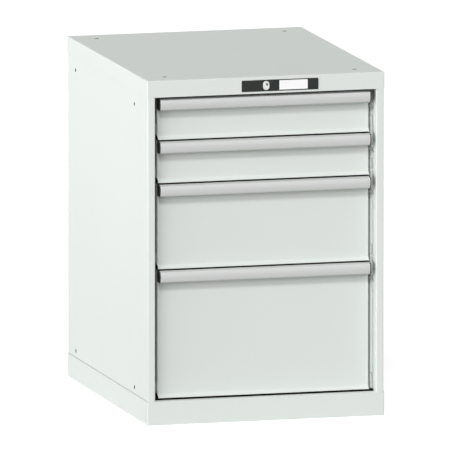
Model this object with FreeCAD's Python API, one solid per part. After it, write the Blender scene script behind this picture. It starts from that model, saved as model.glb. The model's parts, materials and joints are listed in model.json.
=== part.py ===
import FreeCAD, Part
import math
import os

Vector = FreeCAD.Vector

# A steel workshop cabinet with four full-extension drawers, in millimetres.
# X runs to the right, Y to the back and Z up. The origin is the centre of the foot print, on the floor.
# "Depth" below means the distance behind the front plane of the top cover.

# Sheet metal
wall_sheet = 1.25
cover_sheet = 1.0
rail_sheet = 1.5
fold_radius = 1.0
cover_gap = 0.25
cover_corner = 2.0
cover_edge = 1.0

# How far a cutting shape runs past the face that it cuts
overcut = 1.0

# Drawers, from the top one down
front_heights = [100.0, 100.0, 200.0, 300.0]
tray_inside_width = 459.0
tray_inside_length = 612.0
tray_floor_lift = 6.0
tray_rim_drop = 12.0
tray_rim_width = 4.0

# Drawer fronts, folded pans with a forward lip along the lower edge
front_recess = 27.0
front_side_gap = 12.3
pan_depth = 16.0
pan_top_drop = 5.5
pan_return = 26.0
front_lip = 8.0

# Bow handles of extruded aluminium with plastic end caps
handle_side_inset = 1.3
handle_top_drop = 3.5
handle_height = 27.0
handle_wall = 2.0
handle_nose = 3.0
handle_shoulder = 16.0
handle_brow_setback = 2.6
handle_brow_drop = 2.7
handle_belly_drop = 12.0
handle_jaw_setback = 0.9
handle_jaw_drop = 20.0
handle_chin_setback = 3.4
handle_bends = [12.0, 2.6, 16.0, 25.0, 1.2]
handle_tail = 9.0
handle_grip_lip = 4.0
handle_foot_height = 16.0
cap_thickness = 2.6
cap_front_gap = 0.2

# Roller slides: two facing channels, and between them a cage strip with a window for each of its wheels
wheel_radius = 11.0
wheel_play = 0.3
wheel_side_gap = 2.0
wheel_end_margin = 17.0
wheel_overrun = 7.0
channel_lift = 10.0
channel_overrun = 8.0
drawer_channel_reach = 18.25
drawer_channel_setback = 1.0
fixed_channel_reach = 12.0
strip_gap = 1.25
strip_web = 4.0
travel_loss = 12.0

# Slotted uprights that carry the fixed channels
upright_depth = 14.5
upright_width = 40.0
upright_front_offset = 4.0
upright_rear_offset = 62.0
slot_pitch = 50.0
slot_height = 10.0
slot_width = 13.0
tab_play = 0.5
tab_hang = 4.0

# Cabinet shell
post_side_gap = 1.5
post_depth = 47.0
post_lip = 12.0
back_flange = 20.0
back_fold = 18.0
back_overlap = 14.0
rear_space = 63.75
channel_rear_space = 20.0
channel_front_gap = 1.75
plinth_height = 54.5
plinth_flange = 22.0
floor_fold = 15.0
bottom_gap = 5.5
top_gap = 1.0
cover_drop = 39.0

# Holes for joining cabinets side by side and for fixing a worktop, by their distance from the edges
side_hole_radius = 4.75
side_hole_front = 122.5
side_hole_rear = 71.5
side_hole_rise = 70.0
top_hole_radius = 5.5
top_hole_side = 56.0
top_hole_end = 56.5

# Lock bezel with a name card, in the rim of the top cover
bezel_left = -58.2
bezel_width = 182.3
bezel_height = 26.3
bezel_top_margin = 7.5
bezel_plate = 1.2
bezel_corner = 2.0
bezel_rim = 2.2
bezel_body_depth = 6.0
bezel_wall = 1.5
bezel_play = 0.3
card_left = 31.3
card_width = 67.4
card_height = 22.0
card_sheet = 0.5
card_play = 0.1
card_recess = 0.7

# Lock cylinder, crank and bars
lock_width = 15.0
lock_height = 21.0
lock_proud = 0.5
lock_length = 29.2
lock_play = 0.3
plug_radius = 5.2
plug_play = 0.08
plug_proud = 0.2
plug_offset = 3.0
key_slot_width = 1.2
key_slot_height = 6.0
key_slot_depth = 3.0
crank_radius = 10.0
crank_width = 8.0
crank_play = 0.5
bar_sheet = 2.5
transfer_sheet = 2.0
pin_radius = 1.5
pin_overrun = 0.6
crank_slot_play = 0.4
crank_slot_end_play = 0.9
cam_slot_play = 0.2
cam_margin = 5.0
cam_pin_drop = 22.0
transfer_lift = 1.7
transfer_height = 13.5
transfer_wall_gap = 1.5
bar_width = 11.0
bar_wall_gap = 2.5
bar_tail = 21.0
bar_stop_gap = 0.1
hook_reach = 12.5
hook_height = 10.0
hook_gap = 3.0
hook_slot_play = 2.0
strike_drop = 36.0
strike_height = 10.0
strike_reach = 7.3
strike_sheet = 2.0
strike_gap = 0.5
guide_sheet = 1.25
guide_play = 0.5
guide_height = 15.0
guide_leg = 13.0
guide_places = [0.08, 0.38, 0.68, 0.90]
transfer_guide_places = [60.0, 200.0]
stop_setback = 2.0
stop_thickness = 1.7

# Heights of the drawer stack
stack_bottom = plinth_height + bottom_gap
stack_top = stack_bottom + sum(front_heights)
cover_bottom = stack_top + top_gap
cabinet_height = cover_bottom + cover_drop
pitch_tops = [stack_top - sum(front_heights[:i]) for i in range(len(front_heights))]
pitch_bottoms = [top - height for top, height in zip(pitch_tops, front_heights)]

# Widths, as distances from the middle plane, from the trays outwards
tray_half = tray_inside_width / 2 + wall_sheet
drawer_channel_tip = tray_half + drawer_channel_reach
strip_inner = drawer_channel_tip + strip_gap
strip_outer = strip_inner + rail_sheet
fixed_channel_tip = strip_outer + strip_gap
fixed_channel_back = fixed_channel_tip + fixed_channel_reach
wheel_inner_end = tray_half + rail_sheet + wheel_side_gap
wheel_outer_end = fixed_channel_back - rail_sheet - wheel_side_gap
post_inner = wheel_outer_end + post_side_gap
wall_inner = fixed_channel_back + upright_depth
wall_outer = wall_inner + wall_sheet
half_width = wall_outer + cover_gap + cover_sheet
front_half = post_inner - front_side_gap
handle_half = front_half - handle_side_inset

# Depths behind the front plane of the top cover
shell_inset = cover_sheet + cover_gap
post_back = shell_inset + post_depth
pan_back = front_recess + pan_depth
tray_front = pan_back
tray_back = tray_front + tray_inside_length + 2 * wall_sheet
back_sheet_front = tray_back + rear_space
shell_back = back_sheet_front + 2 * wall_sheet
cabinet_depth = shell_back + shell_inset
channel_front = post_back + channel_front_gap
channel_back = back_sheet_front - channel_rear_space
drawer_travel = tray_inside_length - travel_loss
carriage_travel = drawer_travel / 2
strip_back = channel_front + drawer_travel
front_wheel = channel_front + wheel_end_margin
middle_wheel = channel_front + carriage_travel + wheel_overrun
rear_wheel = strip_back - wheel_end_margin
drawer_channel_back = middle_wheel + carriage_travel + channel_overrun
upright_front = channel_front + upright_front_offset
upright_rear = channel_back - upright_rear_offset - upright_width

# Channel heights above the lower edge of a drawer's pitch
channel_height = 2 * (wheel_radius + wheel_play + rail_sheet)
axis_lift = channel_lift + channel_height / 2

wall_top = cabinet_height - cover_corner

# Lock geometry
front_y = -cabinet_depth / 2
bezel_top = cabinet_height - bezel_top_margin
bezel_bottom = bezel_top - bezel_height
lock_middle_z = (bezel_top + bezel_bottom) / 2
plug_z = lock_middle_z + plug_offset
lock_back = lock_length - bezel_plate - lock_proud
crank_front = lock_back + crank_play
crank_back = crank_front + bar_sheet
transfer_front = crank_back + strike_gap
transfer_back = transfer_front + transfer_sheet
bar_travel = 2 * crank_radius * math.sin(math.radians(45))
transfer_bottom = plug_z + transfer_lift
transfer_top = transfer_bottom + transfer_height
bar_outer = wall_inner - bar_wall_gap
bar_inner = bar_outer - bar_width
cam_pin_x = wall_inner - transfer_wall_gap - cam_margin - bar_travel
cam_pin_z = transfer_top - cam_pin_drop
bar_top = cam_pin_z + cam_margin
bar_bottom = pitch_tops[-1] - strike_drop - hook_height - hook_gap - bar_tail
strike_front = crank_back + strike_gap


def y_at(depth):
    return front_y + depth


def block(x0, x1, depth0, depth1, z0, z1):
    return Part.makeBox(x1 - x0, depth1 - depth0, z1 - z0, Vector(x0, y_at(depth0), z0))


def rod_y(x, z, radius, depth0, depth1):
    return Part.makeCylinder(radius, depth1 - depth0, Vector(x, y_at(depth0), z), Vector(0, 1, 0))


def rod_x(radius, x0, x1, depth, z):
    return Part.makeCylinder(radius, x1 - x0, Vector(x0, y_at(depth), z), Vector(1, 0, 0))


def mirrored(shape):
    return shape.mirror(Vector(0, 0, 0), Vector(1, 0, 0))


def both_sides(shape):
    return Part.makeCompound([shape, mirrored(shape)])


def along_x(x):
    return lambda u, v: Vector(x, y_at(u), v)


def along_y(depth):
    return lambda u, v: Vector(u, y_at(depth), v)


def along_z(z):
    return lambda u, v: Vector(u, y_at(v), z)


# Edges of an open path whose corners are rounded with the given radii, where 0 leaves a corner sharp
def rounded_edges(points, radii, lift):
    flat = [Vector(u, v, 0) for u, v in points]
    edges = []
    cursor = flat[0]
    for i in range(1, len(flat) - 1):
        if radii[i - 1] == 0:
            edges.append(Part.makeLine(lift(cursor.x, cursor.y), lift(flat[i].x, flat[i].y)))
            cursor = flat[i]
            continue
        back = (flat[i - 1] - flat[i]).normalize()
        ahead = (flat[i + 1] - flat[i]).normalize()
        half_angle = back.getAngle(ahead) / 2
        reach = radii[i - 1] / math.tan(half_angle)
        bisector = (back + ahead).normalize()
        start = flat[i] + back * reach
        end = flat[i] + ahead * reach
        middle = flat[i] + bisector * (radii[i - 1] / math.sin(half_angle) - radii[i - 1])
        edges.append(Part.makeLine(lift(cursor.x, cursor.y), lift(start.x, start.y)))
        arc = Part.Arc(lift(start.x, start.y), lift(middle.x, middle.y), lift(end.x, end.y))
        edges.append(arc.toShape())
        cursor = end
    last = flat[-1]
    edges.append(Part.makeLine(lift(cursor.x, cursor.y), lift(last.x, last.y)))
    return edges


# A sheet folded along a path, with its thickness on the left of the path.
# The radii are those of the inside of each fold. Without them the folds are sharp.
def folded_sheet(points, thickness, lift, sweep, radii=None):
    count = len(points)
    radii = radii or [0] * (count - 2)
    headings = []
    for (u0, v0), (u1, v1) in zip(points, points[1:]):
        headings.append(Vector(u1 - u0, v1 - v0, 0).normalize())
    left = [Vector(-h.y, h.x, 0) for h in headings]
    offset = []
    outer_radii = []
    inner_radii = []
    for i, (u, v) in enumerate(points):
        before = left[max(i - 1, 0)]
        after = left[min(i, count - 2)]
        shift = (before + after) * (thickness / (1 + before.dot(after)))
        offset.append((u + shift.x, v + shift.y))
        if 0 < i < count - 1:
            radius = radii[i - 1]
            outside = radius + thickness if radius > 0 else 0
            turns_left = headings[i - 1].cross(headings[i]).z > 0
            outer_radii.append(outside if turns_left else radius)
            inner_radii.append(radius if turns_left else outside)
    edges = rounded_edges(points, outer_radii, lift)
    edges += rounded_edges(offset, inner_radii, lift)
    edges.append(Part.makeLine(lift(*points[0]), lift(*offset[0])))
    edges.append(Part.makeLine(lift(*points[-1]), lift(*offset[-1])))
    section = Part.Face(Part.Wire(Part.__sortEdges__(edges)))
    return section.extrude(sweep)


# An upright prism with a polygon outline
def prism(points, lift, sweep):
    corners = [lift(u, v) for u, v in points]
    return Part.Face(Part.makePolygon(corners + corners[:1])).extrude(sweep)


# A plate with half-round ends, facing the front
def oval(x, z, width, height, depth0, depth1):
    radius = width / 2
    rise = height / 2 - radius
    upper = rod_y(x, z + rise, radius, depth0, depth1)
    lower = rod_y(x, z - rise, radius, depth0, depth1)
    middle = block(x - radius, x + radius, depth0, depth1, z - rise, z + rise)
    return upper.fuse([lower, middle]).removeSplitter()


# A link with round ends between two points of the front view
def link(start, end, width, depth0, depth1):
    along = Vector(end[0] - start[0], 0, end[1] - start[1])
    side = Vector(-along.z, 0, along.x).normalize() * (width / 2)
    corners = []
    for (x, z), sign in ((start, 1), (end, 1), (end, -1), (start, -1)):
        corners.append(Vector(x + sign * side.x, y_at(depth0), z + sign * side.z))
    web = Part.Face(Part.makePolygon(corners + corners[:1])).extrude(Vector(0, depth1 - depth0, 0))
    ends = [rod_y(x, z, width / 2, depth0, depth1) for x, z in (start, end)]
    return web.fuse(ends).removeSplitter()


# A box whose upright edges are rounded
def rounded_box(x0, x1, depth0, depth1, z0, z1, radius):
    box = block(x0, x1, depth0, depth1, z0, z1)
    upright = [edge for edge in box.Edges if edge.BoundBox.ZLength > (z1 - z0) / 2]
    return box.makeFillet(radius, upright)


def save(name, shape):
    os.makedirs("parts", exist_ok=True)
    shape.exportStep("parts/" + name + ".step")


# Cabinet shell

def strike_low(i):
    return pitch_tops[i] - strike_drop


def side_holes(x0, x1):
    holes = []
    for depth in (side_hole_front, cabinet_depth - side_hole_rear):
        for z in (side_hole_rise, cabinet_height - side_hole_rise):
            holes.append(rod_x(side_hole_radius, x0, x1, depth, z))
    return holes


def side_wall():
    points = [
        (post_inner + post_lip, post_back),
        (post_inner, post_back),
        (post_inner, shell_inset),
        (wall_outer, shell_inset),
        (wall_outer, shell_back),
        (wall_outer - back_flange, shell_back),
    ]
    rise = Vector(0, 0, wall_top - cover_sheet)
    radii = [0, fold_radius, fold_radius, fold_radius]
    wall = folded_sheet(points, wall_sheet, along_z(cover_sheet), rise, radii)
    return wall.cut(side_holes(wall_inner - overcut, wall_outer + overcut))


# Cuts in the inner face of the right post, for the hooks and the upper end of the locking bar
def lock_slots():
    near = post_inner - overcut
    far = post_inner + wall_sheet + overcut
    slot_front = crank_front - hook_slot_play
    slot_back = strike_front + hook_slot_play
    window_back = transfer_back + hook_slot_play
    cuts = []
    for i in range(len(front_heights)):
        low = strike_low(i) - hook_gap - hook_height - hook_slot_play
        high = low + hook_height + bar_travel + 2 * hook_slot_play
        cuts.append(block(near, far, slot_front, slot_back, low, high))
    low = bar_top - 2 * cam_margin - hook_slot_play
    cuts.append(block(near, far, slot_front, window_back, low, cabinet_height))
    return cuts


def back_wall():
    outer = shell_back - wall_sheet
    inner = outer - back_fold
    low = plinth_height - back_overlap
    half = wall_inner - fold_radius - cover_gap
    points = [(inner, low), (outer, low), (outer, wall_top), (inner, wall_top)]
    return folded_sheet(points, wall_sheet, along_x(-half), Vector(2 * half, 0, 0))


def floor_panel():
    top = plinth_height
    inner_half = post_inner - cover_gap
    outer_half = wall_inner - cover_gap
    back = back_sheet_front - back_fold - cover_gap
    notch = post_back + cover_gap
    outline = [
        (-inner_half, shell_inset),
        (inner_half, shell_inset),
        (inner_half, notch),
        (outer_half, notch),
        (outer_half, back),
        (-outer_half, back),
        (-outer_half, notch),
        (-inner_half, notch),
    ]
    deck = prism(outline, along_z(top - wall_sheet), Vector(0, 0, wall_sheet))
    low = top - floor_fold
    front_fold = block(-inner_half, inner_half, shell_inset, shell_inset + wall_sheet, low, top)
    back_edge = block(-outer_half, outer_half, back - wall_sheet, back, low, top)
    side_fold = block(outer_half - wall_sheet, outer_half, notch, back, low, top)
    return deck.fuse([front_fold, back_edge, side_fold, mirrored(side_fold)]).removeSplitter()


def base_plinth():
    outer = rounded_box(-half_width, half_width, 0, cabinet_depth, 0, plinth_height, cover_corner)
    sheet = cover_sheet
    inner = block(
        sheet - half_width, half_width - sheet, sheet, cabinet_depth - sheet, sheet, plinth_height + overcut
    )
    inset = sheet + plinth_flange
    opening = block(
        inset - half_width, half_width - inset, inset, cabinet_depth - inset, -overcut, sheet + overcut
    )
    return outer.cut([inner, opening])


def top_cover():
    outer = rounded_box(
        -half_width, half_width, 0, cabinet_depth, cover_bottom, cabinet_height, cover_corner
    )
    rim = [edge for edge in outer.Edges if edge.BoundBox.ZMin > cabinet_height - cover_edge]
    outer = outer.makeChamfer(cover_edge, rim)
    sheet = cover_sheet
    inner = block(
        sheet - half_width, half_width - sheet, sheet, cabinet_depth - sheet,
        cover_bottom - overcut, cabinet_height - sheet
    )
    cuts = [inner]
    hole_x = half_width - top_hole_side
    hole_y = cabinet_depth / 2 - top_hole_end
    for x in (-hole_x, hole_x):
        for y in (-hole_y, hole_y):
            place = Vector(x, y, cabinet_height - sheet - overcut)
            cuts.append(Part.makeCylinder(top_hole_radius, sheet + 2 * overcut, place))
    span = bezel_body_span(bezel_play)
    rise = bezel_body_rise(bezel_play)
    cuts.append(block(*span, -overcut, sheet + overcut, *rise))
    return outer.cut(cuts)


def slotted_uprights():
    uprights = []
    height = cover_bottom - plinth_height - top_gap
    for depth in (upright_front, upright_rear):
        points = [
            (wall_inner, depth + upright_width),
            (fixed_channel_back, depth + upright_width),
            (fixed_channel_back, depth),
            (wall_inner, depth),
        ]
        upright = folded_sheet(points, rail_sheet, along_z(plinth_height), Vector(0, 0, height))
        middle = depth + upright_width / 2
        slots = []
        z = stack_bottom + axis_lift
        while z < stack_top - slot_pitch / 2:
            slots.append(
                block(
                    fixed_channel_back - overcut, fixed_channel_back + rail_sheet + overcut,
                    middle - slot_width / 2, middle + slot_width / 2,
                    z - slot_height / 2, z + slot_height / 2
                )
            )
            z += slot_pitch
        upright = upright.cut(slots)
        uprights += [upright, mirrored(upright)]
    return Part.makeCompound(uprights)


# Roller slides

def channel(tip, back, depth0, depth1, low):
    high = low + channel_height
    points = [(tip, low), (back, low), (back, high), (tip, high)]
    if back < tip:
        points.reverse()
    sweep = Vector(0, depth1 - depth0, 0)
    return folded_sheet(points, rail_sheet, along_y(depth0), sweep)


def fixed_rails(i):
    low = pitch_bottoms[i] + channel_lift
    rail = channel(fixed_channel_tip, fixed_channel_back, channel_front, channel_back, low)
    z = pitch_bottoms[i] + axis_lift
    half_tab = slot_width / 2 - tab_play
    tab_top = z + slot_height / 2 - tab_play
    tab_low = z - slot_height / 2 + tab_play
    hook_inner = fixed_channel_back + rail_sheet + tab_play
    hook_outer = hook_inner + rail_sheet
    tabs = []
    for depth in (upright_front, upright_rear):
        middle = depth + upright_width / 2
        near, far = middle - half_tab, middle + half_tab
        neck = block(fixed_channel_back - rail_sheet / 2, hook_outer, near, far, tab_low, tab_top)
        hook = block(hook_inner, hook_outer, near, far, tab_low - tab_hang, tab_top)
        tabs += [neck, hook]
    return both_sides(rail.fuse(tabs))


def drawer_rails(i):
    low = pitch_bottoms[i] + channel_lift
    front = pan_back + drawer_channel_setback
    return both_sides(channel(drawer_channel_tip, tray_half, front, drawer_channel_back, low))


# A flat cage strip, held between the channels' edges by the wheels in its windows
def carriage_strips(i):
    z = pitch_bottoms[i] + axis_lift
    window = wheel_radius + wheel_play
    half = window + strip_web
    strip = block(strip_inner, strip_outer, channel_front, strip_back, z - half, z + half)
    windows = []
    for depth in (front_wheel, middle_wheel, rear_wheel):
        windows.append(
            block(
                strip_inner - overcut, strip_outer + overcut,
                depth - window, depth + window, z - window, z + window
            )
        )
    return both_sides(strip.cut(windows))


# A wide wheel on each side, which rolls on the lower fixed flange and carries the upper drawer flange
def wheel_pair(i, depth):
    z = pitch_bottoms[i] + axis_lift
    return both_sides(rod_x(wheel_radius, wheel_inner_end, wheel_outer_end, depth, z))


# Drawers

def drawer_tray(i):
    low = pitch_bottoms[i] + tray_floor_lift
    high = pitch_tops[i] - tray_rim_drop
    rim = tray_half + tray_rim_width
    points = [(-rim, high), (-tray_half, high), (-tray_half, low)]
    points += [(-u, v) for u, v in reversed(points)]
    trough = folded_sheet(
        points, wall_sheet, along_y(tray_front), Vector(0, tray_back - tray_front, 0)
    )
    half = tray_half - wall_sheet / 2
    walls = []
    for depth in (tray_front, tray_back - wall_sheet):
        walls.append(block(-half, half, depth, depth + wall_sheet, low + wall_sheet / 2, high))
    return trough.fuse(walls).removeSplitter()


def drawer_front(i):
    low = pitch_bottoms[i]
    high = pitch_tops[i] - pan_top_drop
    points = [
        (front_recess - front_lip, low),
        (front_recess, low + front_lip),
        (front_recess, high),
        (pan_back, high),
    ]
    width = Vector(2 * front_half, 0, 0)
    radii = [fold_radius, fold_radius]
    face = folded_sheet(points[::-1], wall_sheet, along_x(-front_half), width, radii)
    points = [
        (front_half, front_recess + wall_sheet / 2),
        (front_half, pan_back),
        (front_half - pan_return, pan_back),
    ]
    side_low = low + front_lip
    rise = Vector(0, 0, high - wall_sheet / 2 - side_low)
    side = folded_sheet(points, wall_sheet, along_z(side_low), rise)
    pan = face.fuse([side, mirrored(side)]).removeSplitter()
    strike = block(
        front_half, front_half + strike_reach, strike_front, strike_front + strike_sheet,
        strike_low(i), strike_low(i) + strike_height
    )
    return Part.makeCompound([pan, strike])


# The handle's outer line in the side view, from its tail over the nose to the grip lip
def handle_line(top):
    chin = handle_nose + handle_chin_setback
    return [
        (front_recess + handle_tail, top),
        (handle_shoulder, top),
        (handle_nose + handle_brow_setback, top - handle_brow_drop),
        (handle_nose, top - handle_belly_drop),
        (handle_nose + handle_jaw_setback, top - handle_jaw_drop),
        (chin, top - handle_height),
        (chin + handle_grip_lip, top - handle_height),
    ]


def drawer_handle(i):
    top = pitch_tops[i] - handle_top_drop
    width = Vector(2 * handle_half, 0, 0)
    bow = folded_sheet(handle_line(top), handle_wall, along_x(-handle_half), width, handle_bends)
    foot = block(
        -handle_half, handle_half, front_recess - handle_wall, front_recess,
        top - handle_wall - handle_foot_height, top - handle_wall / 2
    )
    return bow.fuse(foot).removeSplitter()


def handle_caps(i):
    top = pitch_tops[i] - handle_top_drop
    back = front_recess - cap_front_gap
    outline = [(back, top)] + handle_line(top)[1:-1] + [(back, top - handle_height)]
    cap = prism(outline, along_x(handle_half), Vector(cap_thickness, 0, 0))
    return both_sides(cap)


# Lock

def bezel_body_span(play):
    return (
        bezel_left + bezel_rim + bezel_play - play,
        bezel_left + bezel_width - bezel_rim - bezel_play + play,
    )


def bezel_body_rise(play):
    return (bezel_bottom + bezel_rim + bezel_play - play, bezel_top - bezel_rim - bezel_play + play)


def lock_bezel():
    right = bezel_left + bezel_width
    plate = block(bezel_left, right, -bezel_plate, 0, bezel_bottom, bezel_top)
    corners = [edge for edge in plate.Edges if edge.BoundBox.YLength > bezel_plate / 2]
    plate = plate.makeFillet(bezel_corner, corners)
    x0, x1 = bezel_body_span(0)
    z0, z1 = bezel_body_rise(0)
    body = block(x0, x1, 0, bezel_body_depth, z0, z1)
    wall = bezel_wall
    hollow = block(x0 + wall, x1 - wall, 0, bezel_body_depth + overcut, z0 + wall, z1 - wall)
    play = card_play
    z_low = lock_middle_z - card_height / 2
    recess = block(
        card_left - play, card_left + card_width + play, -bezel_plate - overcut, card_recess - bezel_plate,
        z_low - play, z_low + card_height + play
    )
    bore = oval(
        0, lock_middle_z, lock_width + 2 * lock_play, lock_height + 2 * lock_play,
        -bezel_plate - overcut, bezel_body_depth + overcut
    )
    return plate.fuse(body.cut(hollow)).cut([recess, bore])


def name_card():
    z_low = lock_middle_z - card_height / 2
    back = card_recess - bezel_plate
    return block(card_left, card_left + card_width, back - card_sheet, back, z_low, z_low + card_height)


def lock_body():
    face = -bezel_plate - lock_proud
    barrel = oval(0, lock_middle_z, lock_width, lock_height, face, lock_back)
    return barrel.cut(rod_y(0, plug_z, plug_radius + plug_play, face - overcut, lock_back + overcut))


def lock_plug():
    face = -bezel_plate - lock_proud - plug_proud
    plug = rod_y(0, plug_z, plug_radius, face, crank_front)
    half = key_slot_width / 2
    slot = block(
        -half, half, face - overcut, face + key_slot_depth,
        plug_z - key_slot_height / 2, plug_z + key_slot_height / 2
    )
    return plug.cut(slot)


def crank_pin_place():
    return (-crank_radius * math.sin(math.radians(45)), plug_z + crank_radius * math.cos(math.radians(45)))


def lock_crank():
    pin_x, pin_z = crank_pin_place()
    arm = link((0, plug_z), (pin_x, pin_z), crank_width, crank_front, crank_back)
    pin = rod_y(pin_x, pin_z, pin_radius, crank_back, transfer_back + pin_overrun)
    return arm.fuse(pin)


def transfer_bar():
    pin_x, pin_z = crank_pin_place()
    left = pin_x - pin_radius - crank_slot_play - cam_margin
    right = cam_pin_x + cam_margin
    cam_left = cam_pin_x - bar_travel - cam_margin
    bar = block(left, right, transfer_front, transfer_back, transfer_bottom, transfer_top)
    cam = block(cam_left, right, transfer_front, transfer_back, cam_pin_z - cam_margin, transfer_top)
    depths = (transfer_front - overcut, transfer_back + overcut)
    slot_low = pin_z - crank_slot_end_play
    slot_high = plug_z + crank_radius + crank_slot_end_play
    width = 2 * (pin_radius + crank_slot_play)
    crank_slot = link((pin_x, slot_low), (pin_x, slot_high), width, *depths)
    start = (cam_pin_x, cam_pin_z)
    end = (cam_pin_x - bar_travel, cam_pin_z + bar_travel)
    cam_slot = link(start, end, 2 * (pin_radius + cam_slot_play), *depths)
    return bar.fuse(cam).removeSplitter().cut([crank_slot, cam_slot])


def locking_bar():
    depths = (crank_front, crank_back)
    bar = block(bar_inner, bar_outer, *depths, bar_bottom, bar_top)
    pieces = []
    tip = bar_inner - hook_reach
    for i in range(len(front_heights)):
        low = strike_low(i) - hook_gap - hook_height
        high = low + hook_height
        outline = [(tip, low + hook_height / 2), (bar_inner, low), (bar_inner, high), (tip, high)]
        pieces.append(prism(outline, along_y(crank_front), Vector(0, bar_sheet, 0)))
    ear_left = cam_pin_x - cam_margin
    pieces.append(block(ear_left, bar_inner, *depths, bar_top - 2 * cam_margin, bar_top))
    pieces.append(rod_y(cam_pin_x, cam_pin_z, pin_radius, crank_back, transfer_back + pin_overrun))
    return bar.fuse(pieces).removeSplitter()


def lock_guides():
    guides = []
    length = bar_top - bar_bottom
    near = crank_front - guide_play - guide_sheet
    far = crank_back + guide_play + guide_sheet
    for share in guide_places:
        low = bar_bottom + share * length
        points = [
            (wall_inner - guide_leg, near), (wall_inner, near),
            (wall_inner, far), (wall_inner - guide_leg, far),
        ]
        guides.append(folded_sheet(points, guide_sheet, along_z(low), Vector(0, 0, guide_height)))
    near = transfer_front - guide_play - guide_sheet
    far = transfer_back + guide_play + guide_sheet
    high = cabinet_height - cover_sheet
    low = transfer_bottom - cover_gap - guide_sheet
    for x in transfer_guide_places:
        points = [(near, high), (near, low), (far, low), (far, high)]
        guides.append(folded_sheet(points, guide_sheet, along_x(x), Vector(guide_height, 0, 0)))
    top = bar_bottom - bar_stop_gap
    depths = (crank_front - guide_play, crank_back + guide_play)
    guides.append(block(bar_inner + stop_setback, wall_inner, *depths, top - stop_thickness, top))
    return Part.makeCompound(guides)


left_wall = mirrored(side_wall())
right_wall = side_wall().cut(lock_slots())
save("side_wall_left", left_wall)
save("side_wall_right", right_wall)
save("back_wall", back_wall())
save("floor_panel", floor_panel())
save("base_plinth", base_plinth())
save("top_cover", top_cover())
save("slotted_uprights", slotted_uprights())
save("lock_bezel", lock_bezel())
save("name_card", name_card())
save("lock_body", lock_body())
save("lock_plug", lock_plug())
save("lock_crank", lock_crank())
save("transfer_bar", transfer_bar())
save("locking_bar", locking_bar())
save("lock_guides", lock_guides())
for i in range(len(front_heights)):
    number = str(i + 1)
    save("fixed_rails_" + number, fixed_rails(i))
    save("drawer_rails_" + number, drawer_rails(i))
    save("carriage_" + number, carriage_strips(i))
    save("front_wheels_" + number, wheel_pair(i, front_wheel))
    save("middle_wheels_" + number, wheel_pair(i, middle_wheel))
    save("rear_wheels_" + number, wheel_pair(i, rear_wheel))
    save("drawer_tray_" + number, drawer_tray(i))
    save("drawer_front_" + number, drawer_front(i))
    save("handle_" + number, drawer_handle(i))
    save("handle_caps_" + number, handle_caps(i))

print("width", round(2 * half_width, 2), "depth", round(cabinet_depth, 2), "height", cabinet_height)
print("front half", front_half, "post inner", post_inner, "handle half", handle_half)
print("bar travel", round(bar_travel, 3), "drawer travel", drawer_travel)
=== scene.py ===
import json
import math

import bmesh
import bpy
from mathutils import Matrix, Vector

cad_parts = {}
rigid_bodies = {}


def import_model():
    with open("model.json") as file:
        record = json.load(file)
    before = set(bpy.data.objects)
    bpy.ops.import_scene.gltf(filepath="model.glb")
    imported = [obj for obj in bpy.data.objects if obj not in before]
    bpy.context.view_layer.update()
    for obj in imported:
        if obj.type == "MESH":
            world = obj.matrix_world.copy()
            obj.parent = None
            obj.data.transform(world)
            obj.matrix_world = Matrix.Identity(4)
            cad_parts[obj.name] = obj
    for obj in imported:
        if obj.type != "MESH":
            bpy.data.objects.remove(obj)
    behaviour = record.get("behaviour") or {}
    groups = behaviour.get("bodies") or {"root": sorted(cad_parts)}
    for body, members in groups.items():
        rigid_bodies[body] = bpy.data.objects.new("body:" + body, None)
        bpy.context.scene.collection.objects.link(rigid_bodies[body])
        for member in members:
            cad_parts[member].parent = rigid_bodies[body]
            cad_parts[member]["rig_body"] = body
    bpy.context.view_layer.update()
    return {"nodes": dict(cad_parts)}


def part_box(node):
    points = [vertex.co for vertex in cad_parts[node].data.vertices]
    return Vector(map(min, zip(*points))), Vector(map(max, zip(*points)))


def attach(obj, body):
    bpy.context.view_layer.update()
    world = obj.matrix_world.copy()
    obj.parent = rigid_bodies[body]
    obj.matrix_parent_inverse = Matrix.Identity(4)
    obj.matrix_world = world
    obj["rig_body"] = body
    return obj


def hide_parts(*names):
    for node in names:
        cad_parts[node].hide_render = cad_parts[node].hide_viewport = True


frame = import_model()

scene = bpy.context.scene
nodes = frame["nodes"]
millimetre = 0.001


def nodeBox(node):
    return [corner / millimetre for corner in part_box(node)]


# Every piece is modelled in millimetres, and "depth" is the distance behind the cover's front plane
coverLow, coverHigh = nodeBox("top_cover")
frontY = coverLow.y


def linear(level):  # a screen level from 0 to 255 as a linear colour value
    share = level / 255
    return share / 12.92 if share <= 0.04045 else ((share + 0.055) / 1.055) ** 2.4


def screenColour(red, green, blue, gain=1.0):
    return (linear(red) * gain, linear(green) * gain, linear(blue) * gain, 1)


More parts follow.
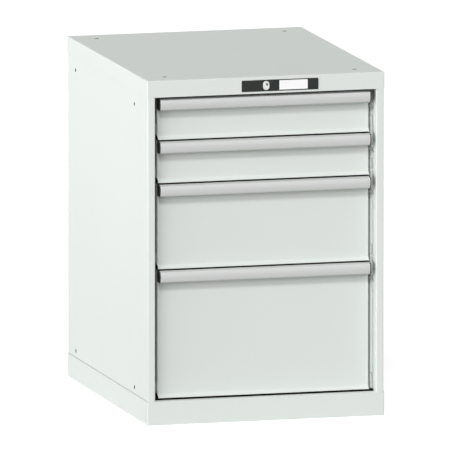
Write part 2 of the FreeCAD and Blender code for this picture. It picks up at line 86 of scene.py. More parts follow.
# Materials. Each finish: colour patches, a grain in the bump, and a roughness that varies.
def finish(name, look):
    material = bpy.data.materials.new(name)
    material.use_nodes = True
    tree = material.node_tree
    shader = tree.nodes["Principled BSDF"]
    shader.inputs["Metallic"].default_value = look.get("metallic", 0.0)
    shader.inputs["Specular IOR Level"].default_value = look.get("gloss", 0.5)
    shader.inputs["Coat Weight"].default_value = look.get("coat", 0.0)
    shader.inputs["Coat Roughness"].default_value = look.get("coatRoughness", 0.2)
    place = tree.nodes.new("ShaderNodeTexCoord")
    stretch = tree.nodes.new("ShaderNodeMapping")
    stretch.inputs["Scale"].default_value = look.get("stretch", (1, 1, 1))
    tree.links.new(place.outputs["Object"], stretch.inputs["Vector"])

    patches = tree.nodes.new("ShaderNodeTexNoise")
    patches.inputs["Scale"].default_value = look["patchScale"]
    patches.inputs["Detail"].default_value = 3
    tree.links.new(stretch.outputs["Vector"], patches.inputs["Vector"])
    shades = tree.nodes.new("ShaderNodeValToRGB")
    shades.color_ramp.elements[0].position = 0.3
    shades.color_ramp.elements[1].position = 0.7
    for element, gain in zip(shades.color_ramp.elements, (1 - look["patch"], 1 + look["patch"])):
        element.color = screenColour(*look["colour"], gain)
    tree.links.new(patches.outputs["Fac"], shades.inputs["Fac"])
    tree.links.new(shades.outputs["Color"], shader.inputs["Base Color"])

    polish = tree.nodes.new("ShaderNodeMapRange")
    polish.inputs["To Min"].default_value = look["roughness"][0]
    polish.inputs["To Max"].default_value = look["roughness"][1]
    tree.links.new(patches.outputs["Fac"], polish.inputs["Value"])
    tree.links.new(polish.outputs["Result"], shader.inputs["Roughness"])

    grain = tree.nodes.new("ShaderNodeTexNoise")
    grain.inputs["Scale"].default_value = look["grainScale"]
    grain.inputs["Detail"].default_value = 4
    tree.links.new(stretch.outputs["Vector"], grain.inputs["Vector"])
    bump = tree.nodes.new("ShaderNodeBump")
    bump.inputs["Strength"].default_value = look["grain"]
    bump.inputs["Distance"].default_value = look.get("grainDepth", 0.1) * millimetre
    tree.links.new(grain.outputs["Fac"], bump.inputs["Height"])
    tree.links.new(bump.outputs["Normal"], shader.inputs["Normal"])
    return material


powderCoat = finish("powderCoat", {
    "colour": (224, 229, 225), "patch": 0.008, "patchScale": 2.5,
    "roughness": (0.50, 0.58), "grain": 0.12, "grainScale": 900, "gloss": 0.15,
})
# The fronts' coat: the housing's coat a little darker
frontCoat = finish("frontCoat", {
    "colour": (220, 225, 221), "patch": 0.008, "patchScale": 3.0,
    "roughness": (0.48, 0.56), "grain": 0.10, "grainScale": 900, "gloss": 0.15,
})
anodised = finish("anodisedAluminium", {
    "colour": (203, 204, 203), "patch": 0.015, "patchScale": 60, "stretch": (0.06, 8, 8),
    "roughness": (0.40, 0.52), "grain": 0.15, "grainScale": 260, "gloss": 0.4, "metallic": 0.25,
})
capPlastic = finish("capPlastic", {
    "colour": (22, 22, 22), "patch": 0.10, "patchScale": 90,
    "roughness": (0.50, 0.65), "grain": 0.25, "grainScale": 1400, "gloss": 0.3,
})
# A near-black finish for strips that stand in for shade: painted shade in the gap under the lowest front, in
# the joint at the plinth and on the shaded top of each handle
paintedShadeBlack = finish("paintedShadeBlack", {
    "colour": (14, 14, 14), "patch": 0.10, "patchScale": 60,
    "roughness": (0.75, 0.90), "grain": 0.30, "grainScale": 1100, "gloss": 0.1,
})
# A mid grey for the inner edges of the cover strips and wheel shields: painted shade of the gap beside the
# fronts
gapShadeGrey = finish("gapShadeGrey", {
    "colour": (152, 156, 153), "patch": 0.03, "patchScale": 60,
    "roughness": (0.60, 0.75), "grain": 0.25, "grainScale": 1200, "gloss": 0.15,
})
bezelPlastic = finish("bezelPlastic", {
    "colour": (42, 45, 43), "patch": 0.05, "patchScale": 40,
    "roughness": (0.48, 0.60), "grain": 0.25, "grainScale": 1200, "gloss": 0.2,
})
cardPaper = finish("cardPaper", {
    "colour": (252, 252, 252), "patch": 0.006, "patchScale": 120,
    "roughness": (0.60, 0.72), "grain": 0.10, "grainScale": 2200, "gloss": 0.2,
    "coat": 0.3, "coatRoughness": 0.12,
})
nickel = finish("nickelPlate", {
    "colour": (224, 224, 222), "patch": 0.03, "patchScale": 70, "metallic": 0.8,
    "roughness": (0.26, 0.36), "grain": 0.08, "grainScale": 900,
})
zincPlate = finish("zincPlate", {
    "colour": (184, 187, 190), "patch": 0.07, "patchScale": 55, "metallic": 0.7,
    "roughness": (0.34, 0.48), "grain": 0.12, "grainScale": 420,
})
plainSteel = finish("plainSteel", {
    "colour": (150, 152, 151), "patch": 0.06, "patchScale": 50, "metallic": 0.4,
    "roughness": (0.50, 0.64), "grain": 0.15, "grainScale": 500,
})
nylon = finish("nylon", {
    "colour": (224, 222, 212), "patch": 0.03, "patchScale": 60,
    "roughness": (0.30, 0.42), "grain": 0.10, "grainScale": 700,
})
threadShade = finish("threadShade", {
    "colour": (52, 54, 53), "patch": 0.10, "patchScale": 80,
    "roughness": (0.60, 0.75), "grain": 0.20, "grainScale": 900, "gloss": 0.2,
})
boreShade = finish("boreShade", {
    "colour": (10, 10, 10), "patch": 0.10, "patchScale": 80,
    "roughness": (0.60, 0.75), "grain": 0.20, "grainScale": 900, "gloss": 0.1,
})
print("materials ready")


# Shared shaping steps
merge = {"nodes": 0.002, "rounds": 0.0005, "turned": 0.001, "flatDegrees": 0.5}


def newPiece(name, work, body, material, replaced=()):
    bmesh.ops.scale(work, verts=work.verts, vec=(millimetre,) * 3)
    mesh = bpy.data.meshes.new(name + "Shape")
    work.to_mesh(mesh)
    work.free()
    mesh.materials.append(material)
    piece = bpy.data.objects.new(name, mesh)
    scene.collection.objects.link(piece)
    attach(piece, body)
    for node in replaced:
        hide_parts(node)
    return piece


def slab(work, low, high):
    made = bmesh.ops.create_cube(work, size=1)
    bmesh.ops.scale(work, verts=made["verts"], vec=Vector(high) - Vector(low))
    bmesh.ops.translate(work, verts=made["verts"], vec=(Vector(low) + Vector(high)) / 2)
    return made["verts"]


def roundEdges(work, lines, width, steps):
    bmesh.ops.bevel(
        work, geom=lines, offset=width, offset_type="OFFSET", segments=steps,
        profile=0.5, affect="EDGES", clamp_overlap=True, material=-1
    )
    bmesh.ops.dissolve_degenerate(work, dist=merge["rounds"], edges=work.edges)


def linesBeyond(work, axis, limit):  # the edges whose two ends lie past the limit on an axis
    return [line for line in work.edges if min(end.co[axis] for end in line.verts) > limit]


def smoothNarrow(work, widest, crease=40):  # narrow strips are smooth up to a crease, broad faces flat
    for face in work.faces:
        face.smooth = 2 * face.calc_area() / face.calc_perimeter() < widest / 2
    for line in work.edges:
        line.smooth = line.calc_face_angle(math.pi) < math.radians(crease)


def sweptStrip(work, path, along, closed=False):  # a thin strip over a path of folds
    corners = [work.verts.new(point) for point in path]
    pairs = list(zip(corners, corners[1:]))
    if closed:
        pairs.append((corners[-1], corners[0]))
    lines = [work.edges.new(pair) for pair in pairs]
    made = bmesh.ops.extrude_edge_only(work, edges=lines)
    moved = [part for part in made["geom"] if isinstance(part, bmesh.types.BMVert)]
    bmesh.ops.translate(work, verts=moved, vec=along)
    bmesh.ops.recalc_face_normals(work, faces=work.faces)


def halfway(line):
    return (line.verts[0].co + line.verts[1].co) / 2


def roundFold(work, corner, along, radius, steps):
    middle = Vector(corner) + Vector(along) / 2
    fold = min(work.edges, key=lambda line: (halfway(line) - middle).length)
    roundEdges(work, [fold], radius * math.tan(fold.calc_face_angle() / 2), steps)


def mirrorAcross(work):  # adds the same shape on the other side of the middle plane
    everything = work.verts[:] + work.edges[:] + work.faces[:]
    bmesh.ops.mirror(work, geom=everything, axis="X", merge_dist=-1)
    bmesh.ops.recalc_face_normals(work, faces=work.faces)


def turned(work, profile, centre, axis, sides):  # profile points are (distance along the axis, radius)
    axis = Vector(axis)
    outward = axis.orthogonal().normalized()
    points = [work.verts.new(Vector(centre) + axis * run + outward * radius) for run, radius in profile]
    lines = [work.edges.new(pair) for pair in zip(points, points[1:])]
    bmesh.ops.spin(
        work, geom=points + lines, cent=centre, axis=axis, angle=math.tau, steps=sides,
        use_merge=True
    )
    bmesh.ops.remove_doubles(work, verts=work.verts, dist=merge["turned"])
    bmesh.ops.recalc_face_normals(work, faces=work.faces)


def nodeCopy(node):  # a merged copy of a node, whose own mesh is left alone
    work = bmesh.new()
    work.from_mesh(nodes[node].data)
    bmesh.ops.scale(work, verts=work.verts, vec=(1 / millimetre,) * 3)
    bmesh.ops.remove_doubles(work, verts=work.verts, dist=merge["nodes"])
    flat = math.radians(merge["flatDegrees"])
    bmesh.ops.dissolve_limit(work, angle_limit=flat, verts=work.verts, edges=work.edges)
    return work


def softenEdges(work, edge, steps=2, crease=40, widest=1.8):
    sharp = []
    for line in work.edges:
        if len(line.link_faces) == 2 and line.calc_face_angle() > math.radians(crease):
            sharp.append(line)
    roundEdges(work, sharp, edge, steps)
    smoothNarrow(work, widest)


def softened(node, material, edge):
    work = nodeCopy(node)
    softenEdges(work, edge)
    return newPiece(node + "Soft", work, nodes[node]["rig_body"], material, [node])


# Shell of folded sheet
shell = {
    "outside": ("side_wall_left", "side_wall_right", "top_cover", "base_plinth"), "outsideEdge": 0.35,
    "inside": ("back_wall", "floor_panel", "slotted_uprights"), "insideEdge": 0.2,
}
for node in shell["outside"]:
    softened(node, powderCoat, shell["outsideEdge"])
for node in shell["inside"]:
    softened(node, powderCoat, shell["insideEdge"])

# Tapped sleeves behind the holes for joining cabinets and for the worktop, near black all over: painted
# shade inside the holes
sleeve = {
    "length": 9.0, "setBack": 0.3, "wall": 0.8, "threadDepth": 0.45, "pitch": 1.5, "floor": 1.0, "sides": 32,
}
sideHoles = {"radius": 4.7, "depths": (122.5, 653.5), "heights": (70.0, 730.0), "plane": 280.75}
coverHoles = {"radius": 5.4, "across": 226.0, "along": 306.0}


def tappedSleeve(work, centre, inward, radius):
    bore = radius - sleeve["wall"]
    profile = [(sleeve["setBack"], radius), (sleeve["setBack"], bore)]
    run = sleeve["setBack"]
    while run < sleeve["length"] - sleeve["floor"] - sleeve["pitch"]:
        profile.append((run + sleeve["pitch"] / 2, bore - sleeve["threadDepth"]))
        profile.append((run + sleeve["pitch"], bore))
        run += sleeve["pitch"]
    profile += [(run, 0), (sleeve["length"], 0), (sleeve["length"], radius), (sleeve["setBack"], radius)]
    turned(work, profile, centre, inward, sleeve["sides"])


work = bmesh.new()
for depth in sideHoles["depths"]:
    for height in sideHoles["heights"]:
        for side in (-1, 1):
            centre = (side * sideHoles["plane"], frontY + depth, height)
            tappedSleeve(work, centre, (-side, 0, 0), sideHoles["radius"])
newPiece("sideHoleSleeves", work, "housing", boreShade)
work = bmesh.new()
for x in (-coverHoles["across"], coverHoles["across"]):
    for y in (-coverHoles["along"], coverHoles["along"]):
        tappedSleeve(work, (x, y, coverHigh.z), (0, 0, -1), coverHoles["radius"])
newPiece("coverHoleSleeves", work, "housing", boreShade)

# Screws that hold the back wall to the side walls' flanges; the dark cross set into each head stands for the
# shade of its recess: painted shade
backScrew = {
    "across": 270.75, "heights": (114.5, 310.0, 505.5, 701.0), "plane": 361.25, "sides": 28,
    "head": [(0, 0), (0, 4.2), (0.25, 4.2), (0.62, 3.7), (0.95, 2.6), (1.08, 1.2), (1.1, 0)],
    "cross": {"reach": 2.0, "width": 0.7, "low": 0.55, "high": 1.12}, "smooth": 4,
}
heads = bmesh.new()
crosses = bmesh.new()
cross = backScrew["cross"]
long, short = cross["reach"], cross["width"] / 2
for height in backScrew["heights"]:
    for x in (-backScrew["across"], backScrew["across"]):
        centre = (x, backScrew["plane"], height)
        turned(heads, backScrew["head"], centre, (0, 1, 0), backScrew["sides"])
        for reachX, reachZ in ((long, short), (short, long)):
            low = (x - reachX, backScrew["plane"] + cross["low"], height - reachZ)
            high = (x + reachX, backScrew["plane"] + cross["high"], height + reachZ)
            slab(crosses, low, high)
smoothNarrow(heads, backScrew["smooth"])
newPiece("backScrewHeads", heads, "housing", zincPlate)
newPiece("backScrewCrosses", crosses, "housing", threadShade)

# A black strip on the floor panel, under the lowest front: painted shade of the gap below that front
lowGapShade = {"half": 262.0, "depths": (21.0, 40.0), "height": 3.9, "edge": 1.2, "steps": 3, "smooth": 3}
floorTop = nodeBox("floor_panel")[1].z
work = bmesh.new()
front, back = lowGapShade["depths"]
low = (-lowGapShade["half"], frontY + front, floorTop)
high = (lowGapShade["half"], frontY + back, floorTop + lowGapShade["height"])
slab(work, low, high)
roundEdges(work, linesBeyond(work, 2, floorTop + 1), lowGapShade["edge"], lowGapShade["steps"])
smoothNarrow(work, lowGapShade["smooth"])
newPiece("lowGapShade", work, "housing", paintedShadeBlack)

# A black strip where each side wall meets the plinth: painted shade of the joint
wallJoint = {
    "plane": 280.75, "proud": 0.12, "deep": 0.2, "depths": (1.5, 721.5), "low": 54.5, "height": 0.7,
    "edge": 0.06, "steps": 2,
}
work = bmesh.new()
front, back = wallJoint["depths"]
low = (wallJoint["plane"] - wallJoint["deep"], frontY + front, wallJoint["low"])
high = (wallJoint["plane"] + wallJoint["proud"], frontY + back, wallJoint["low"] + wallJoint["height"])
slab(work, low, high)
roundEdges(work, linesBeyond(work, 0, wallJoint["plane"]), wallJoint["edge"], wallJoint["steps"])
mirrorAcross(work)
newPiece("wallJoints", work, "housing", paintedShadeBlack)

# Cover strips inside the front posts, left open where the wheels of each drawer pass; their grey inner edge
# is painted shade of the gap beside the fronts
coverStrip = {
    "lip": 253.3, "joint": 258.0, "outer": 263.0, "depths": (36.0, 37.2), "low": 58.6, "high": 759.0,
    "openings": {"bottoms": (60.0, 360.0, 560.0, 660.0), "from": 10.5, "to": 35.0},
    "edge": 0.4, "steps": 2, "smooth": 1,
}


def postStrip(name, inner, outer, material):
    openings = coverStrip["openings"]
    starts = [coverStrip["low"]] + [bottom + openings["to"] for bottom in openings["bottoms"]]
    ends = [bottom + openings["from"] for bottom in openings["bottoms"]] + [coverStrip["high"]]
    front, back = coverStrip["depths"]
    work = bmesh.new()
    for start, end in zip(starts, ends):
        slab(work, (inner, frontY + front, start), (outer, frontY + back, end))
    free = [line for line in work.edges if max(end.co.x for end in line.verts) < inner + 0.1]
    roundEdges(work, free, coverStrip["edge"], coverStrip["steps"])
    smoothNarrow(work, coverStrip["smooth"])
    mirrorAcross(work)
    newPiece(name, work, "housing", material)


postStrip("coverStrips", coverStrip["joint"], coverStrip["outer"], powderCoat)
postStrip("coverLipShade", coverStrip["lip"], coverStrip["joint"], gapShadeGrey)
print("shell ready")

# Lock bezel, name card and lock in the cover's rim
bezel = {"edge": 0.4, "cardCorner": 1.0, "cardSteps": 4, "lockEdge": 0.6}
softened("lock_bezel", bezelPlastic, bezel["edge"])
work = nodeCopy("name_card")
corners = [line for line in work.edges if abs(line.verts[0].co.y - line.verts[1].co.y) > 0.1]
roundEdges(work, corners, bezel["cardCorner"], bezel["cardSteps"])
newPiece("nameCardCut", work, "housing", cardPaper, ["name_card"])
softened("lock_body", nickel, bezel["lockEdge"])

# Lock plug: the face is set back a little and the keyway widened; a black slab in the keyway is painted
# shade, and a dark arc is let into the face
plug = {
    "setBack": 0.12, "edge": 0.12, "keyWiden": 1.7, "keyWidth": 2.1, "keyHeight": 5.9, "keyFront": 0.24,
    "keyBack": 2.0, "keyReach": 3.75,
    "darkArc": {
        "inner": 2.3, "outer": 4.7, "from": 32, "to": -56, "proud": 0.06, "deep": 0.4, "steps": 12,
    },
    "pin": {"radius": 0.62, "tip": 0.6, "bevel": 0.4, "height": 1.1, "from": 0.16, "to": 2.2, "sides": 16},
}
plugLow, plugHigh = nodeBox("lock_plug")
plugCentre = Vector((0, plugLow.y, (plugLow.z + plugHigh.z) / 2))
work = nodeCopy("lock_plug")
face = [corner for corner in work.verts if corner.co.y < plugLow.y + 0.01]
bmesh.ops.translate(work, verts=face, vec=(0, plug["setBack"], 0))
key = [corner for corner in work.verts if (corner.co - plugCentre).length < plug["keyReach"]]
bmesh.ops.scale(work, verts=key, vec=(plug["keyWiden"], 1, 1))
softenEdges(work, plug["edge"])
newPiece("lockPlugFace", work, "lock_cylinder", nickel, ["lock_plug"])

# The black slab in the keyway is painted shade of its depth; the dark arc lies in the face to the right of
# the keyway
work = bmesh.new()
low = Vector((-plug["keyWidth"] / 2, plug["keyFront"], -plug["keyHeight"] / 2))
high = Vector((plug["keyWidth"] / 2, plug["keyBack"], plug["keyHeight"] / 2))
slab(work, plugCentre + low, plugCentre + high)
darkArc = plug["darkArc"]
start = math.radians(darkArc["from"])
outward = Vector((math.cos(start), 0, math.sin(start)))
ahead = plugCentre + Vector((0, plug["setBack"] - darkArc["proud"], 0))
behind = ahead + Vector((0, darkArc["deep"], 0))
ring = [work.verts.new(place + outward * darkArc[edge]) for place, edge in (
    (ahead, "inner"), (ahead, "outer"), (behind, "outer"), (behind, "inner"))]
section = work.faces.new(ring)
sweep = math.radians(darkArc["from"] - darkArc["to"])
bmesh.ops.spin(
    work, geom=[section] + section.edges[:] + section.verts[:], cent=plugCentre, axis=(0, 1, 0),
    angle=sweep, steps=darkArc["steps"], use_merge=False
)
bmesh.ops.recalc_face_normals(work, faces=work.faces)
newPiece("lockKeywayShadeAndArc", work, "lock_cylinder", boreShade)
pin = plug["pin"]
radius = pin["radius"]
work = bmesh.new()
profile = [(0, 0), (0, radius * pin["tip"]), (radius * pin["bevel"], radius)]
profile += [(pin["to"], radius), (pin["to"], 0)]
turned(work, profile, plugCentre + Vector((0, pin["from"], pin["height"])), (0, 1, 0), pin["sides"])
newPiece("lockPin", work, "lock_cylinder", nickel)

# Lock parts behind the rim
lockEdge = 0.15
for node in ("lock_guides", "lock_crank", "transfer_bar"):
    softened(node, zincPlate, lockEdge)
softened("locking_bar", plainSteel, lockEdge)
print("lock ready")

# Handles: a bow of extruded aluminium, its foot on the drawer front, and two end caps
handle = {
    "wall": 2.0, "footDepths": (25.0, 27.0), "footLow": -18.0, "footHigh": -1.0,
    "line": [(36, 0), (16, 0), (5.6, -2.7), (3, -12), (3.9, -20), (6.4, -27), (10.4, -27)],
    "rounds": [14.0, 4.6, 18.0, 27.0, 3.2], "steps": [4, 8, 8, 8, 5],
    "capBack": 26.8, "capEdge": 0.7, "smooth": 5,
    "topShadeDepths": (16.6, 34.5), "topShadeHeight": 1.3, "topShadeEdge": 0.5, "topShadeSmooth": 1, "edgeSteps": 3,
}


def handlePath(x, top, points):
    return [Vector((x, frontY + depth, top + height)) for depth, height in points]


def roundHandle(work, path, along):  # the five folds between the first and the last point
    for corner, radius, steps in zip(path[1:-1], handle["rounds"], handle["steps"]):
        roundFold(work, corner, along, radius, steps)


def handleBow(number):
    node = "handle_" + number
    low, high = nodeBox(node)
    work = bmesh.new()
    along = Vector((high.x - low.x, 0, 0))
    path = handlePath(low.x, high.z, handle["line"])
    sweptStrip(work, path, along)
    roundHandle(work, path, along)
    bmesh.ops.recalc_face_normals(work, faces=work.faces)
    bmesh.ops.solidify(work, geom=work.faces[:], thickness=handle["wall"])
    front, back = handle["footDepths"]
    slab(
        work, (low.x, frontY + front, high.z + handle["footLow"]),
        (high.x, frontY + back, high.z + handle["footHigh"])
    )
    smoothNarrow(work, handle["smooth"])
    newPiece("handleBow" + number, work, "drawer_" + number, anodised, [node])

    # A black strip along the top of the bow, behind its brow: painted shade under the lip of the front above
    topShade = bmesh.new()
    front, back = handle["topShadeDepths"]
    slab(topShade, (low.x, frontY + front, high.z), (high.x, frontY + back, high.z + handle["topShadeHeight"]))
    roundEdges(topShade, linesBeyond(topShade, 2, high.z + 1), handle["topShadeEdge"], handle["edgeSteps"])
    smoothNarrow(topShade, handle["topShadeSmooth"])
    newPiece("handleTopShade" + number, topShade, "drawer_" + number, paintedShadeBlack)
    return high.z


def handleCaps(number, top):
    node = "handle_caps_" + number
    capEnd = nodeBox(node)[1].x
    handleEnd = nodeBox("handle_" + number)[1].x
    lowest = handle["line"][-1][1]
    points = [(handle["capBack"], 0)] + handle["line"][1:-1] + [(handle["capBack"], lowest)]
    work = bmesh.new()
    along = Vector((capEnd - handleEnd, 0, 0))
    path = handlePath(handleEnd, top, points)
    sweptStrip(work, path, along, closed=True)
    roundHandle(work, path, along)
    rims = [line for line in work.edges if line.is_boundary]
    bmesh.ops.edgeloop_fill(work, edges=rims)
    bmesh.ops.recalc_face_normals(work, faces=work.faces)
    roundEdges(work, linesBeyond(work, 0, capEnd - 0.01), handle["capEdge"], handle["edgeSteps"])
    smoothNarrow(work, handle["smooth"])
    mirrorAcross(work)
    newPiece("handleCaps" + number, work, "drawer_" + number, capPlastic, [node])


# Drawer fronts: the folded pan, and apart from it the strike plate for the lock's hook
frontPan = {"edge": 0.4, "strikeEdge": 0.15}


def drawerFront(number):
    node = "drawer_front_" + number
    panEdge = -nodeBox(node)[0].x
    pan = nodeCopy(node)
    beyond = [face for face in pan.faces if face.calc_center_median().x > panEdge + 0.05]
    bmesh.ops.delete(pan, geom=beyond, context="FACES")
    softenEdges(pan, frontPan["edge"])
    newPiece("drawerPan" + number, pan, "drawer_" + number, frontCoat, [node])
    strike = nodeCopy(node)
    inside = [face for face in strike.faces if face.calc_center_median().x < panEdge - 0.05]
    bmesh.ops.delete(strike, geom=inside, context="FACES")
    softenEdges(strike, frontPan["strikeEdge"])
    newPiece("strikePlate" + number, strike, "drawer_" + number, plainSteel, [node])


# Wheel shields: at each side of a front a painted plate with a grey foot, the foot painted shade of the gap
# beside the front, in the opening of the cover strip
wheelShield = {
    "foot": 250.7, "joint": 258.0, "outer": 262.0, "depths": (36.0, 37.2), "from": 11.2, "to": 34.3,
    "edge": 0.3, "steps": 2, "smooth": 1,
}


def sidePlates(name, number, inner, outer, material):
    bottom = coverStrip["openings"]["bottoms"][-int(number)]
    front, back = wheelShield["depths"]
    low = (inner, frontY + front, bottom + wheelShield["from"])
    high = (outer, frontY + back, bottom + wheelShield["to"])
    work = bmesh.new()
    slab(work, low, high)
    roundEdges(work, linesBeyond(work, 0, outer - 0.1), wheelShield["edge"], wheelShield["steps"])
    smoothNarrow(work, wheelShield["smooth"])
    mirrorAcross(work)
    newPiece(name + number, work, "drawer_" + number, material)


def wheelShields(number):
    joint = wheelShield["joint"]
    sidePlates("shieldFootShade", number, wheelShield["foot"], joint, gapShadeGrey)
    sidePlates("wheelShields", number, joint, wheelShield["outer"], frontCoat)


# Trays: floor, rims and side walls from one folded strip, with slots for partitions in the walls
tray = {
    "sheet": 1.25, "rim": 4.0, "slotPitch": 17.0, "slotWidth": 3.2, "slotHeight": 15.0,
    "endMargin": 27.0, "topMargin": 12.0, "rowPitch": 33.0, "lowMargin": 9.0,
}


def cutAcross(work, faces, place, direction):
    parts = set(faces)
    for face in faces:
        parts.update(face.edges)
        parts.update(face.verts)
    made = bmesh.ops.bisect_plane(work, geom=list(parts), plane_co=place, plane_no=direction)
    return [part for part in made["geom"] if isinstance(part, bmesh.types.BMFace)]


def slotRows(low, high):
    rows = []
    top = high - tray["topMargin"]
    while top - tray["slotHeight"] > low + tray["lowMargin"]:
        rows.append((top - tray["slotHeight"], top))
        top -= tray["rowPitch"]
    return rows


def slotColumns(front, back):
    count = int((back - front - 2 * tray["endMargin"]) / tray["slotPitch"])
    first = (front + back) / 2 - (count - 1) * tray["slotPitch"] / 2
    columns = []
    for place in range(count):
        middle = first + place * tray["slotPitch"]
        columns.append((middle - tray["slotWidth"] / 2, middle + tray["slotWidth"] / 2))
    return columns


def drawerTray(number):
    node = "drawer_tray_" + number
    low, high = nodeBox(node)
    sheet = tray["sheet"]
    rim = high.z - sheet
    half = high.x - tray["rim"]
    path = [(low.x, rim), (-half, rim), (-half, low.z), (half, low.z), (half, rim), (high.x, rim)]
    along = Vector((0, high.y - low.y, 0))
    work = bmesh.new()
    sweptStrip(work, [Vector((x, low.y, z)) for x, z in path], along)
    rows = slotRows(low.z, rim)
    columns = slotColumns(low.y, high.y)
    wall = [face for face in work.faces if abs(face.normal.x) > 0.9]
    for row in rows:
        for height in row:
            wall = cutAcross(work, wall, (0, 0, height), (0, 0, 1))
    banded = [face for face in wall if any(a < face.calc_center_median().z < b for a, b in rows)]
    for column in columns:
        for place in column:
            banded = cutAcross(work, banded, (0, place, 0), (0, 1, 0))
    openings = []
    for face in banded:
        if any(front < face.calc_center_median().y < back for front, back in columns):
            openings.append(face)
    bmesh.ops.delete(work, geom=openings, context="FACES")
    bmesh.ops.recalc_face_normals(work, faces=work.faces)
    floorFace = max(work.faces, key=lambda face: face.calc_area())
    inward = sheet if floorFace.normal.z < 0 else -sheet
    bmesh.ops.solidify(work, geom=work.faces[:], thickness=inward)
    for front in (low.y, high.y - sheet):
        slab(work, (-half + sheet / 2, front, low.z + sheet / 2), (half - sheet / 2, front + sheet, rim))
    newPiece("trayShell" + number, work, "drawer_" + number, frontCoat, [node])


# Wheels: two tyres on one hub, with the cage strip between them, and an axle end in each hub
wheel = {
    "width": 27.25, "waist": 5.2, "stripGap": 3.6, "stripSheet": 1.5, "tyreEdge": 1.0, "dish": 7.6,
    "dishDepth": 1.6, "axle": 2.6, "axleDepth": 0.4, "sides": 40, "smooth": 6,
}


def wheelPair(kind, number):
    node = kind + number
    low, high = nodeBox(node)
    middle = (low + high) / 2
    radius = (high.z - low.z) / 2
    width = wheel["width"]
    inner = high.x - width
    stripMiddle = nodeBox("carriage_" + number)[1].x - wheel["stripSheet"] / 2
    left = stripMiddle - wheel["stripGap"] / 2 - inner
    right = stripMiddle + wheel["stripGap"] / 2 - inner
    edge = wheel["tyreEdge"]
    side = [
        (wheel["axleDepth"], 0), (wheel["axleDepth"], wheel["axle"]), (wheel["dishDepth"], wheel["axle"]),
        (wheel["dishDepth"], wheel["dish"]), (0, wheel["dish"] + edge), (0, radius - edge), (edge, radius),
    ]
    waist = [
        (left - edge, radius), (left, radius - edge), (left, wheel["waist"]),
        (right, wheel["waist"]), (right, radius - edge), (right + edge, radius),
    ]
    profile = side + waist + [(width - run, reach) for run, reach in reversed(side)]
    work = bmesh.new()
    turned(work, profile, (inner, middle.y, middle.z), (1, 0, 0), wheel["sides"])
    smoothNarrow(work, wheel["smooth"])
    mirrorAcross(work)
    newPiece(node + "Turned", work, nodes[node]["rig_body"], nylon, [node])


railEdge = 0.2
for number in ("1", "2", "3", "4"):
    drawerFront(number)
    handleTop = handleBow(number)
    handleCaps(number, handleTop)
    drawerTray(number)
    wheelShields(number)
    for node in ("fixed_rails_", "drawer_rails_", "carriage_"):
        softened(node + number, zincPlate, railEdge)
    for kind in ("front_wheels_", "middle_wheels_", "rear_wheels_"):
        wheelPair(kind, number)
    print("drawer", number, "ready")

# The view of the photograph: from the front left, a little above, through a very long lens
viewPoint = {
    "azimuth": -15.078, "elevation": 9.032, "target": (0, 0, 0.3995),
    "lens": 1700, "sensor": 36, "width": 1.0409, "nearest": 1, "farthest": 200,
}


def towards(azimuth, elevation):  # the direction from the cabinet to a lamp or to the camera
    turn = math.radians(azimuth)
    rise = math.radians(elevation)
    return Vector((math.sin(turn) * math.cos(rise), -math.cos(turn) * math.cos(rise), math.sin(rise)))


def placeCamera():
    back = towards(viewPoint["azimuth"], viewPoint["elevation"])
    distance = viewPoint["width"] * viewPoint["lens"] / viewPoint["sensor"]
    lens = bpy.data.cameras.new("camera")
    lens.lens = viewPoint["lens"]
    lens.sensor_width = viewPoint["sensor"]
    lens.clip_start = viewPoint["nearest"]
    lens.clip_end = viewPoint["farthest"]
    camera = bpy.data.objects.new("camera", lens)
    scene.collection.objects.link(camera)
    camera.rotation_mode = "QUATERNION"
    camera.location = Vector(viewPoint["target"]) + back * distance
    camera.rotation_quaternion = (-back).to_track_quat("-Z", "Y")
    scene.camera = camera


# Soft studio light: a broad lamp at the left, four from the front left, and a level fill for the far sides
lamps = {
    "leftSide": {"azimuth": -85, "elevation": 3, "strength": 1.43, "angle": 30},
    "frontLeft": {"azimuth": -55, "elevation": 10, "strength": 0.93, "angle": 30},
    "lowFront": {"azimuth": -40, "elevation": 5, "strength": 0.38, "angle": 10},
    "upperFront": {"azimuth": -18, "elevation": 45, "strength": 1.27, "angle": 12},
    "middleFront": {"azimuth": -18, "elevation": 25, "strength": 0.31, "angle": 12},
    "backRight": {"azimuth": 130, "elevation": 0.5, "strength": 1.55, "angle": 6},
}
lampDistance = 4
surround = {"level": 0.27, "seen": 1.0}
ground = {"size": 12.0, "colour": (0.50, 0.50, 0.50, 1), "roughness": 0.9, "lift": 0.75}


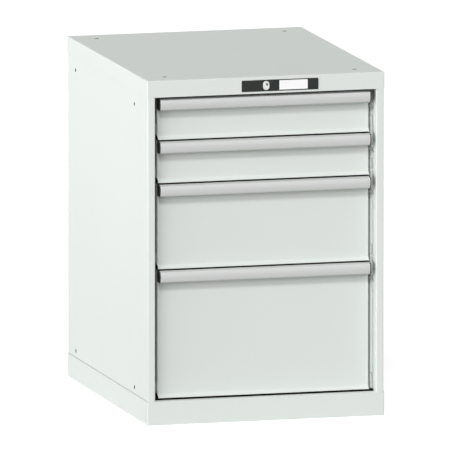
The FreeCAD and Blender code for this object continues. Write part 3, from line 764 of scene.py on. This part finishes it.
def placeLamps():
    for name, lamp in lamps.items():
        back = towards(lamp["azimuth"], lamp["elevation"])
        sun = bpy.data.lights.new(name, "SUN")
        sun.energy = lamp["strength"]
        sun.angle = math.radians(lamp["angle"])
        holder = bpy.data.objects.new(name, sun)
        scene.collection.objects.link(holder)
        holder.rotation_mode = "QUATERNION"
        holder.rotation_quaternion = (-back).to_track_quat("-Z", "Y")
        holder.location = back * lampDistance


def seenStrength(tree, unseen, seen, socket):  # one strength for what is seen or mirrored, one for light
    rays = tree.nodes.new("ShaderNodeLightPath")
    mirrored = tree.nodes.new("ShaderNodeMath")
    mirrored.operation = "MAXIMUM"
    either = tree.nodes.new("ShaderNodeMath")
    either.operation = "MAXIMUM"
    level = tree.nodes.new("ShaderNodeMapRange")
    level.inputs["To Min"].default_value = unseen
    level.inputs["To Max"].default_value = seen
    tree.links.new(rays.outputs["Is Glossy Ray"], mirrored.inputs[0])
    tree.links.new(rays.outputs["Is Transmission Ray"], mirrored.inputs[1])
    tree.links.new(mirrored.outputs[0], either.inputs[0])
    tree.links.new(rays.outputs["Is Camera Ray"], either.inputs[1])
    tree.links.new(either.outputs[0], level.inputs["Value"])
    tree.links.new(level.outputs["Result"], socket)


def placeSurround():
    world = bpy.data.worlds.new("surround")
    world.use_nodes = True
    scene.world = world
    background = world.node_tree.nodes["Background"]
    background.inputs["Color"].default_value = (1, 1, 1, 1)
    seenStrength(world.node_tree, surround["level"], surround["seen"], background.inputs["Strength"])


def placeGround():
    work = bmesh.new()
    bmesh.ops.create_grid(work, x_segments=1, y_segments=1, size=ground["size"] / 2)
    mesh = bpy.data.meshes.new("groundShape")
    work.to_mesh(mesh)
    work.free()
    material = bpy.data.materials.new("groundPaper")
    material.use_nodes = True
    tree = material.node_tree
    shader = tree.nodes["Principled BSDF"]
    shader.inputs["Base Color"].default_value = ground["colour"]
    shader.inputs["Roughness"].default_value = ground["roughness"]
    shader.inputs["Specular IOR Level"].default_value = 0.0
    shader.inputs["Emission Color"].default_value = (1, 1, 1, 1)
    seenStrength(tree, 0.0, ground["lift"], shader.inputs["Emission Strength"])
    mesh.materials.append(material)
    floor = bpy.data.objects.new("ground", mesh)
    scene.collection.objects.link(floor)


placeCamera()
placeLamps()
placeSurround()
placeGround()
scene.view_settings.view_transform = "Standard"
print("camera, light and floor ready")
